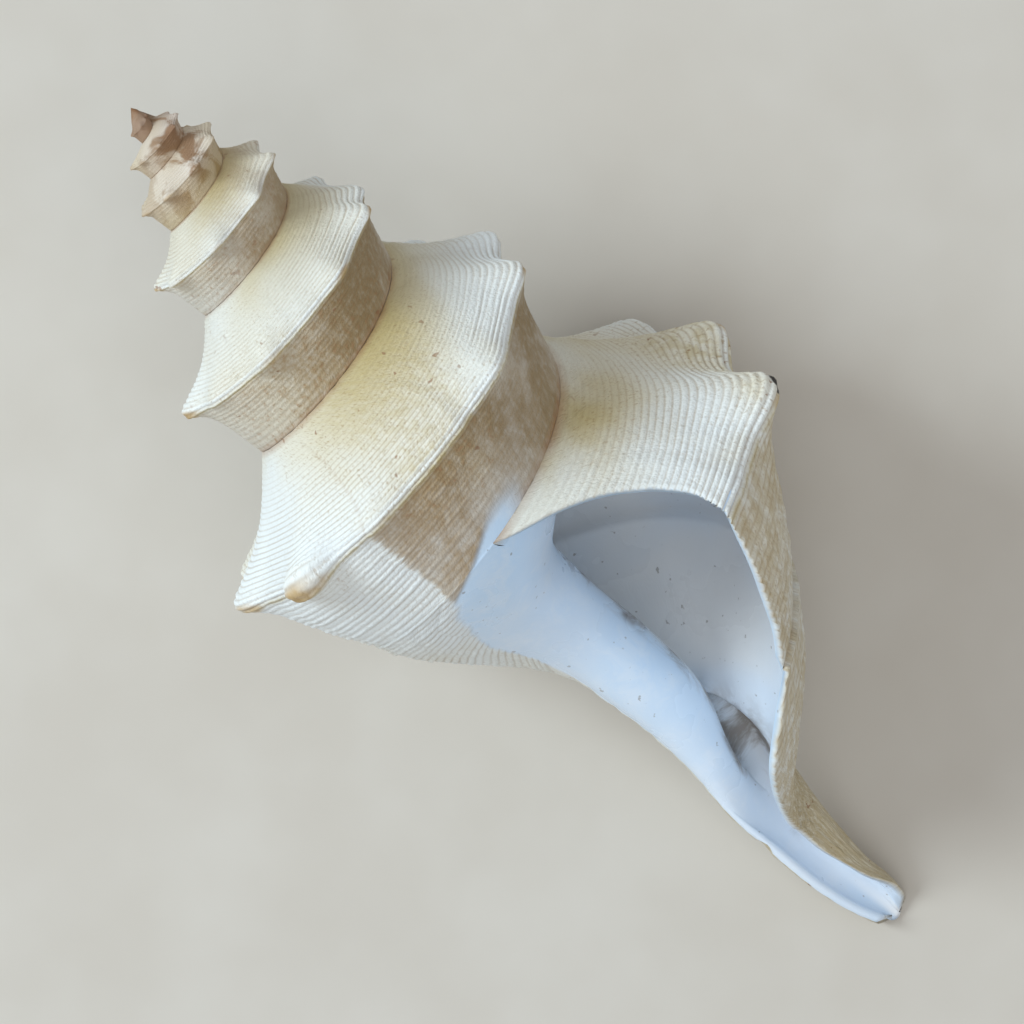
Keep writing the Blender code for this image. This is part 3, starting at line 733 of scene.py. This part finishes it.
# ---------------------------------------------------------------- materials
class Nodes:
    """Short hand for building a node tree."""

    def __init__(self, name):
        self.material = bpy.data.materials.new(name)
        self.material.use_nodes = True
        self.tree = self.material.node_tree
        self.shader = self.tree.nodes["Principled BSDF"]

    def put(self, kind, **inputs):
        node = self.tree.nodes.new(kind)
        for name, value in inputs.items():
            self.set(node.inputs[name.replace("_", " ")], value)
        return node

    def set(self, socket, value):
        if hasattr(value, "is_output"):
            self.tree.links.new(value, socket)
        else:
            socket.default_value = value

    def attribute(self, name):
        node = self.tree.nodes.new("ShaderNodeAttribute")
        node.attribute_name = name
        return node.outputs["Fac"]

    def math(self, operation, one, two=0.0, three=0.0):
        node = self.tree.nodes.new("ShaderNodeMath")
        node.operation = operation
        for socket, value in zip(node.inputs, (one, two, three)):
            self.set(socket, value)
        return node.outputs[0]

    def times(self, one, *more):
        for two in more:
            one = self.math("MULTIPLY", one, two)
        return one

    def ramp(self, value, low, high, start=0.0, end=1.0):
        """Smooth step from start to end as value goes from low to high."""
        node = self.tree.nodes.new("ShaderNodeMapRange")
        node.interpolation_type = "SMOOTHSTEP"
        for name, number in (("Value", value), ("From Min", low), ("From Max", high),
                             ("To Min", start), ("To Max", end)):
            self.set(node.inputs[name], number)
        return node.outputs["Result"]

    def bump_at(self, value, centre, width):
        """1 at centre, falling to 0 at width on both sides."""
        away = self.math("ABSOLUTE", self.math("SUBTRACT", value, centre))
        return self.ramp(away, 0.0, width, 1.0, 0.0)

    def point(self, x, y, z):
        node = self.tree.nodes.new("ShaderNodeCombineXYZ")
        for socket, value in zip(node.inputs, (x, y, z)):
            self.set(socket, value)
        return node.outputs[0]

    def noise(self, where, scale, detail=3.0, rough=0.55, twist=0.0):
        node = self.put("ShaderNodeTexNoise", Vector=where, Scale=scale, Detail=detail,
                        Roughness=rough, Distortion=twist)
        return node.outputs["Fac"]

    def mix(self, share, one, two):
        node = self.tree.nodes.new("ShaderNodeMix")
        node.data_type = "RGBA"
        for index, value in ((0, share), (6, one), (7, two)):
            self.set(node.inputs[index], value)
        return node.outputs[2]


def srgb(red, green, blue):
    """Linear colour from 0 to 255 display values."""
    values = np.array([red, green, blue]) / 255.0
    linear = np.where(values > 0.04045, ((values + 0.055) / 1.055) ** 2.4, values / 12.92)
    return tuple(float(v) for v in linear) + (1.0,)


# colours of the outside, then of the glaze and the lining, then of the floor
WHITE = srgb(233, 238, 238)
CREAM = srgb(229, 225, 209)
OCHRE = srgb(186, 166, 104)
TAN = srgb(160, 130, 86)
RUST = srgb(158, 112, 74)
BROWN = srgb(142, 98, 62)
PINK = srgb(228, 208, 190)
OLIVE = srgb(184, 166, 126)
# dark olive of the painted shade on the band's side away from the key light
SHADE_OLIVE = srgb(128, 110, 74)
KNOB = srgb(186, 152, 92)
GLAZE = srgb(197, 221, 244)
PEARL = srgb(220, 231, 243)
CHALK = srgb(240, 239, 237)
PALE = srgb(236, 240, 244)
DIRT = srgb(110, 88, 60)
BLACK = srgb(30, 22, 18)
FLOOR_DARK = srgb(196, 189, 178)
FLOOR_PALE = srgb(202, 196, 186)

# noise fields: scale, detail, roughness, distortion; scales are per metre, and per unit of the growth map
WIDE = (28.0, 3.0, 0.55, 0.4)
BLOTCH = (70.0, 4.0, 0.6, 0.6)
GROWTH_LINES = (2.2, 4.0, 0.6, 0.3)
FINE_LINES = (7.0, 2.0, 0.6, 0.2)
BUMP_LINES = (9.0, 3.0, 0.6, 0.2)
STRIPES = (1.0, 3.0, 0.6, 0.4)
OLD_PATCHES = (260.0, 4.0, 0.6, 0.5)
PITS = (620.0, 2.0)
CAUGHT = (120.0, 5.0, 0.65, 0.8)
SPECKS = (900.0, 2.0, 0.5, 0.0)
CRAZING = (210.0, 5.0, 0.7, 0.6)
DULL = (90.0, 4.0)
SATIN = (60.0, 4.0)
GRAIN = (1400.0, 2.0)
FLOOR_CLOUDS = (30.0, 3.0)

# places on the shell, in turns back from the lip or in stations across the whorl
SPOT = (-0.1, 0.57)          # turn and station of the black spot
SPOT_SIZE = (0.011, 0.05)
SHADE_TURN = 0.07            # turns from the lip to the middle of the side away from the key light, where painted shade is strongest
BAND_START = (KEEL + 0.03, KEEL + 0.08)
BAND_END = (1.1, 1.14)
BAND_EDGE = (-0.826, -0.82)  # turns at which the tan band ends
LATE_TURNS = (-0.55, -0.15)  # turns over which the olive of the last whorl comes in
CANAL_OLIVE = (2.3, 3.0)
KEEL_LINE = (KEEL - 0.01, 0.05)    # middle and half width of the pale line and of the yellow one
YELLOW_LINE = (KEEL + 0.045, 0.03)
OLD_TURNS = (-2.7, -3.9)     # turns over which the shell turns pink and brown
TIP_TURNS = (-4.8, -5.5)
SHELL_IOR = 1.53
BUMP_HEIGHT = 0.0005         # metres


def growth_map(n, cord):
    """Coordinates that are drawn out along the growth lines."""
    return n.point(n.times(n.attribute("line"), 60.0), n.times(cord, 0.2), 0.0)


def outside_colour(n, turn, station, cord, place):
    """Colour of the outside: cream ramps, tan band below the keel, ochre stains, brown tip, with painted
    shade on the side away from the key light.
    """
    grown = growth_map(n, cord)
    along = n.point(n.times(turn, 9.0), n.times(cord, 2.0), 0.0)
    growth = n.noise(grown, *GROWTH_LINES)
    stripes = n.noise(along, *STRIPES)
    blotch = n.noise(place, *BLOTCH)
    wide = n.noise(place, *WIDE)
    knob = n.attribute("knob")
    groove = n.ramp(n.attribute("wave"), 0.05, 0.6, 1.0, 0.0)
    # side of the whorls away from the key light: the marks below paint it darker and more stained, as painted
    # shade
    shade_side = n.math("COSINE", n.times(n.math("ADD", turn, SHADE_TURN), 2.0 * math.pi))

    colour = n.mix(n.ramp(wide, 0.35, 0.65), WHITE, CREAM)
    # ochre near the suture and in stains: the shell's own stains, made stronger on the side away from the key
    # light as painted shade
    suture = n.times(n.ramp(station, 0.0, 0.42, 1.0, 0.0), n.ramp(wide, 0.36, 0.6, 0.35, 1.0),
                     n.ramp(shade_side, -0.5, 0.8, 0.15, 1.0))
    colour = n.mix(n.times(suture, 0.9), colour, OCHRE)
    stain_and_shade = n.times(n.ramp(wide, 0.5, 0.68), n.ramp(growth, 0.35, 0.65), n.ramp(shade_side, -0.7, 0.6), 0.5)
    colour = n.mix(stain_and_shade, colour, OCHRE)

    # tan band below the keel of the older whorls, darker on the side away from the key light as painted
    # shade; a sharp growth line ends it
    edge = n.math("ADD", turn, n.times(stripes, 0.02))
    older = n.ramp(edge, *BAND_EDGE, 1.0, 0.0)
    below = n.times(n.ramp(station, *BAND_START), n.ramp(station, *BAND_END, 1.0, 0.0))
    band = n.times(below, older, n.ramp(growth, 0.2, 0.62, 0.65, 1.0), n.ramp(blotch, 0.3, 0.6, 0.6, 1.0),
                   n.ramp(shade_side, -0.4, 0.6, 0.5, 1.0))
    colour = n.mix(n.times(band, 0.95), colour, TAN)
    # painted shade: the band goes dark olive on the side away from the key light
    shaded_band = n.times(band, n.ramp(shade_side, 0.1, 0.9), n.ramp(blotch, 0.3, 0.6, 0.25, 0.6))
    colour = n.mix(shaded_band, colour, SHADE_OLIVE)
    rust = n.times(below, n.ramp(growth, 0.54, 0.68), n.ramp(stripes, 0.4, 0.56), n.ramp(wide, 0.4, 0.55))
    colour = n.mix(n.times(rust, 0.55), colour, RUST)

    # last whorl near the lip, and the outside of the canal
    late = n.times(n.ramp(turn, *LATE_TURNS), n.ramp(station, KEEL + 0.02, KEEL + 0.1))
    late = n.math("MAXIMUM", late, n.ramp(station, *CANAL_OLIVE))
    late = n.times(late, n.ramp(growth, 0.25, 0.6, 0.3, 1.0), n.ramp(blotch, 0.2, 0.6, 0.6, 1.0))
    colour = n.mix(n.times(late, 0.8), colour, OLIVE)

    # pale keel with a yellow line under it, and ochre knobs
    keel = n.times(n.bump_at(station, *KEEL_LINE), n.ramp(stripes, 0.3, 0.6, 0.5, 1.0))
    colour = n.mix(n.times(keel, 0.7), colour, WHITE)
    under = n.times(n.bump_at(station, *YELLOW_LINE), n.ramp(growth, 0.3, 0.55))
    colour = n.mix(n.times(under, 0.7), colour, OCHRE)
    tips = n.times(n.ramp(knob, 0.45, 0.85), n.ramp(blotch, 0.36, 0.56, 0.1, 0.9))
    colour = n.mix(tips, colour, KNOB)

    # dark lines where growth once stopped and along the suture, and fine tan growth lines
    rests = n.times(n.ramp(n.attribute("rest"), 0.08, 0.4), n.ramp(blotch, 0.35, 0.55, 0.25, 0.8),
                    n.ramp(station, KEEL + 0.1, KEEL + 0.02))
    colour = n.mix(rests, colour, RUST)
    seam = n.math("MAXIMUM", n.ramp(station, 0.0, 0.03, 1.0, 0.0),
                  n.times(n.bump_at(station, 1.0, 0.035), n.ramp(turn, -0.9, -0.88, 1.0, 0.0)))
    colour = n.mix(n.times(seam, n.ramp(blotch, 0.3, 0.6, 0.15, 0.6)), colour, RUST)
    fine = n.ramp(n.noise(grown, *FINE_LINES), 0.55, 0.68)
    colour = n.mix(n.times(fine, n.ramp(wide, 0.35, 0.6, 0.15, 0.5)), colour, TAN)

    # black spot on the knob nearest the lip
    spot = n.times(n.bump_at(turn, SPOT[0], SPOT_SIZE[0]), n.bump_at(station, SPOT[1], SPOT_SIZE[1]))
    colour = n.mix(n.ramp(n.math("ADD", spot, n.times(blotch, 0.2)), 0.35, 0.5), colour, BLACK)

    # tan in the grooves between the cords, and small brown pits
    groove_tan = n.times(groove, n.ramp(blotch, 0.3, 0.65, 0.2, 0.8), n.ramp(station, 2.2, 2.8, 1.0, 0.3),
                    n.ramp(station, 0.02, 0.3, 0.25, 1.0))
    colour = n.mix(n.times(groove_tan, 0.5), colour, TAN)
    pits = n.ramp(n.noise(place, *PITS), 0.69, 0.73)
    colour = n.mix(n.times(pits, n.ramp(wide, 0.42, 0.6), 0.7), colour, BROWN)

    # oldest whorls pinkish and brown; the brown patches lean to the side away from the key light as painted
    # shade
    old = n.ramp(turn, *OLD_TURNS)
    patches = n.ramp(n.noise(place, *OLD_PATCHES), 0.44, 0.58)
    colour = n.mix(n.times(old, 0.6), colour, PINK)
    colour = n.mix(n.times(old, n.ramp(shade_side, -0.6, 0.6, 0.35, 0.9), patches), colour, BROWN)
    colour = n.mix(n.times(old, n.ramp(wide, 0.4, 0.6), 0.5), colour, OCHRE)
    return n.mix(n.ramp(turn, *TIP_TURNS, 0.0, 0.7), colour, BROWN)


def inside_colour(n, station, inside, place):
    """Colour of the glaze and the lining, with dirt caught near the canal."""
    wide = n.noise(place, *WIDE)
    blotch = n.noise(place, *CAUGHT)
    pearl = n.mix(n.ramp(wide, 0.3, 0.7), GLAZE, PEARL)
    lining = n.mix(n.ramp(wide, 0.35, 0.65), CHALK, PEARL)
    pearl = n.mix(n.ramp(inside, 0.04, 0.2), pearl, lining)
    specks = n.ramp(n.noise(place, *SPECKS), 0.7, 0.76)
    caught = n.times(n.ramp(station, 1.7, 2.2), n.ramp(station, 3.2, 2.8), n.ramp(inside, 0.03, 0.1))
    dirt = n.times(n.ramp(blotch, 0.46, 0.66), caught, 0.75)
    crazed = n.ramp(n.noise(place, *CRAZING), 0.42, 0.7)
    pearl = n.mix(n.times(crazed, n.ramp(inside, 0.15, 0.0, 0.0, 0.3)), pearl, PALE)
    return n.mix(n.math("MAXIMUM", dirt, n.times(specks, 0.5)), pearl, DIRT)


def shell_material():
    """Matt, finely lined outside and satin glaze, on one material."""
    n = Nodes("shell")
    turn = n.attribute("turn")
    station = n.attribute("station")
    cord = n.attribute("cord")
    glaze = n.attribute("glaze")
    inside = n.attribute("inside")
    place = n.put("ShaderNodeNewGeometry").outputs["Position"]
    outer = outside_colour(n, turn, station, cord, place)
    n.set(n.shader.inputs["Base Color"], n.mix(glaze, outer, inside_colour(n, station, inside, place)))

    dull = n.ramp(n.noise(place, *DULL), 0.3, 0.7, 0.5, 0.7)
    satin = n.ramp(n.noise(place, *SATIN), 0.3, 0.7, 0.24, 0.36)
    n.set(n.shader.inputs["Roughness"], n.math("ADD", n.times(dull, n.math("SUBTRACT", 1.0, glaze)),
                                               n.times(satin, glaze)))
    n.shader.inputs["IOR"].default_value = SHELL_IOR

    grown = growth_map(n, cord)
    lines = n.math("ADD", n.noise(grown, *BUMP_LINES), n.noise(grown, *GROWTH_LINES))
    grain = n.times(n.noise(place, *GRAIN), 0.4)
    relief = n.times(n.math("ADD", lines, grain), n.ramp(glaze, 0.0, 1.0, 1.0, 0.08))
    bump = n.put("ShaderNodeBump", Height=relief, Strength=0.5, Distance=BUMP_HEIGHT)
    n.set(n.shader.inputs["Normal"], bump.outputs[0])
    return n.material


def floor_material():
    """Plain and pale, with faint clouds."""
    n = Nodes("floor")
    place = n.put("ShaderNodeNewGeometry").outputs["Position"]
    colour = n.mix(n.ramp(n.noise(place, *FLOOR_CLOUDS), 0.3, 0.7), FLOOR_DARK, FLOOR_PALE)
    n.set(n.shader.inputs["Base Color"], colour)
    n.shader.inputs["Roughness"].default_value = 0.9
    return n.material


# ---------------------------------------------------------------- light and camera
VIEW_TILT = -20.0            # camera's direction from the shell's own Y, degrees towards the spire
VIEW_ROLL = 40.7             # how far the axis of the shell is rolled in the picture
VIEW_FROM = (3.2, 496.3, -99.8)  # camera in the shell's own axes, millimetres
VIEW_ANGLE = 14.6            # how wide the camera sees, degrees
CLIP_START = 0.01            # metres
FLOOR_SIZE = 1.5
SKY_COLOUR = (0.93, 0.96, 1.0, 1.0)
SKY_STRENGTH = 0.5
# name, direction (right, up, towards the camera), distance and size in metres, watts, colour
LAMPS = (("key", (-1.0, 0.2, 0.75), 1.2, 0.5, 11.0, (0.80, 0.92, 1.0)),
         ("fill", (0.2, -0.5, 1.4), 1.4, 1.2, 5.5, (0.95, 0.98, 1.0)))


def view_axes():
    """Right, up and towards the camera, in part coordinates."""
    tilt = math.radians(VIEW_TILT)
    roll = math.radians(VIEW_ROLL)
    towards = np.array([0.0, math.cos(tilt), math.sin(tilt)])
    across = np.array([1.0, 0.0, 0.0])
    down = np.cross(towards, across) * -1.0
    down = down * np.sign(down[2])
    right = across * math.cos(roll) + down * math.sin(roll)
    up = across * math.sin(roll) - down * math.cos(roll)
    return [AXES @ v for v in (right, up, towards)]


RIGHT, UP, TOWARDS = view_axes()


def add_camera():
    data = bpy.data.cameras.new("camera")
    data.sensor_fit = "HORIZONTAL"
    data.angle = math.radians(VIEW_ANGLE)
    data.clip_start = CLIP_START
    camera = add_object("camera", data)
    rows = np.stack([RIGHT, UP, TOWARDS], -1)
    camera.matrix_world = Matrix.LocRotScale(to_part([VIEW_FROM])[0], Matrix(rows.tolist()), None)
    bpy.context.scene.camera = camera


def add_light(name, aim, distance, size, power, colour):
    """Square lamp in direction aim (right, up, towards the camera) from the shell."""
    towards = RIGHT * aim[0] + UP * aim[1] + TOWARDS * aim[2]
    towards = towards / np.linalg.norm(towards)
    data = bpy.data.lights.new(name, "AREA")
    data.size = size
    data.energy = power
    data.color = colour
    lamp = add_object(name, data)
    middle = (np.array(SHELL_LOW) + np.array(SHELL_HIGH)) / 2.0
    turn = Matrix(np.stack(lamp_axes(towards), -1).tolist())
    lamp.matrix_world = Matrix.LocRotScale(middle + towards * distance, turn, None)


def lamp_axes(towards):
    """Right, up and back of a lamp that shines from direction towards."""
    side = np.cross([0.0, 0.0, 1.0], towards)
    side = side / np.linalg.norm(side)
    return side, np.cross(towards, side), towards


def add_floor():
    work = bmesh.new()
    bmesh.ops.create_grid(work, x_segments=2, y_segments=2, size=FLOOR_SIZE)
    mesh = bpy.data.meshes.new("floor")
    work.to_mesh(mesh)
    work.free()
    mesh.materials.append(floor_material())
    floor = add_object("floor", mesh)


def add_sky():
    bpy.context.scene.view_settings.view_transform = "Standard"
    world = bpy.data.worlds.new("sky")
    world.use_nodes = True
    back = world.node_tree.nodes["Background"]
    back.inputs["Color"].default_value = SKY_COLOUR
    back.inputs["Strength"].default_value = SKY_STRENGTH
    bpy.context.scene.world = world


def build():
    """The shell in four pieces, the floor, the light and the camera."""
    material = shell_material()
    body_sheets().make("shell_body", material)
    for name, *rows in WHORLS:
        whorl_sheet(*rows)[0].make(name, material)
    tip, ids, turned = whorl_sheet(*TIP)
    close_tip(tip, ids, turned)
    tip.make("shell_tip", material)
    add_floor()
    add_sky()
    for lamp in LAMPS:
        add_light(*lamp)
    add_camera()


build()
